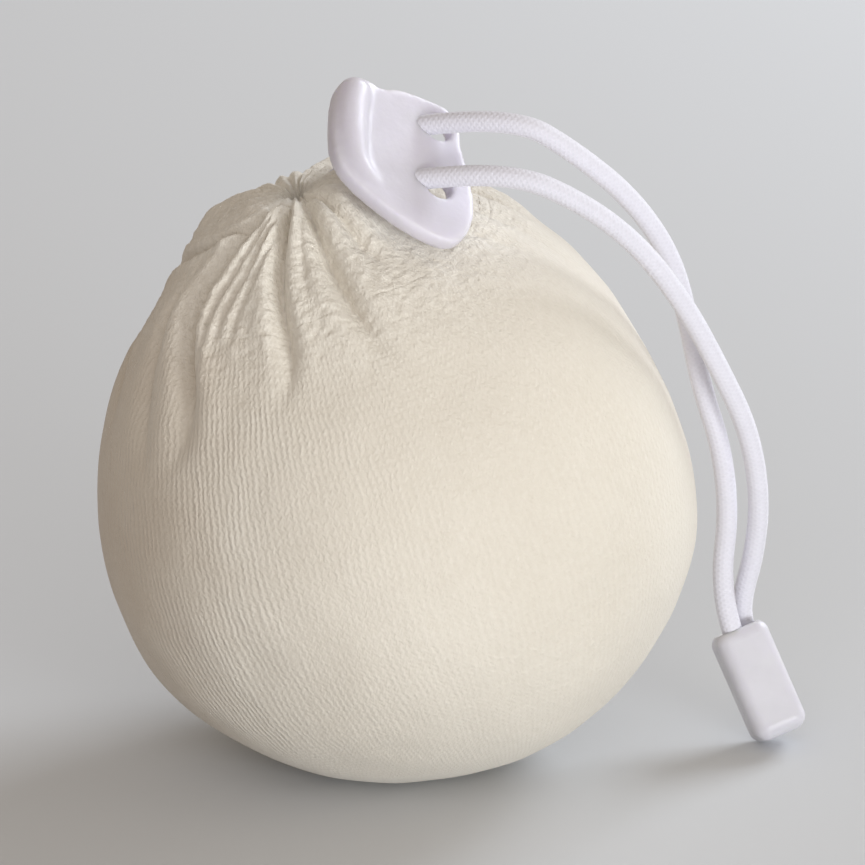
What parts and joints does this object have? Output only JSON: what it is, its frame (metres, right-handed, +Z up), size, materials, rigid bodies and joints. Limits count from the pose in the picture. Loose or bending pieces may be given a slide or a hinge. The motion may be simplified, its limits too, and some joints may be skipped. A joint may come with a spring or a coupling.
{
  "type": "herbal compress ball",
  "caption": "Herb-filled knit cotton massage ball, gathered at the mouth by an elastic drawstring with a two-hole stopper and a clip on the cord's ends.",
  "frame": {"origin": "centre of the flat that the stuffed bag rests on", "axes": "+Z up, the mouth leaning 18 degrees towards -X; +X towards the side where the strands hang; -Y the front"},
  "size_m": [0.1016, 0.0866, 0.1048],
  "materials": {
    "knit_cotton": "ribbed undyed knit, matte",
    "hem_cotton": "crinkled undyed knit hem, matte",
    "thread": "twisted cotton thread",
    "muslin": "fine plain weave",
    "tie_string": "twisted string",
    "dried_herbs": "coarse packed dried plant matter",
    "elastic_cord": "braided white elastic",
    "stopper_plastic": "milky translucent moulding",
    "clip_plastic": "white moulding, slightly translucent"
  },
  "bodies": {
    "ball": {"outer_bag": "knit_cotton", "drawstring_casing": "hem_cotton", "casing_stitching": "thread", "side_seam": "thread", "herb_pouch": "muslin", "pouch_tie": "tie_string", "herb_filling": "dried_herbs", "drawstring_loop": "elastic_cord", "drawstring_upper_strand": "elastic_cord", "drawstring_lower_strand": "elastic_cord", "cord_end_body": "clip_plastic", "cord_end_knot": "elastic_cord"},
    "stopper": {"cord_stopper": "stopper_plastic"},
    "cord_end_cover": {"cord_end_lid": "clip_plastic"}
  },
  "joints": [
    {"name": "stopper_slide", "type": "slide", "parent": "ball", "child": "stopper", "axis": [0.9299, -0.325, 0.172], "range_m": [0, 0.006]},
    {"name": "cord_end_hinge", "type": "hinge", "parent": "ball", "child": "cord_end_cover", "pos_m": [0.05539, 0.0022, 0.00209], "axis": [0.9027, 0.2976, 0.3108], "range_deg": [0, 90]}
  ]
}
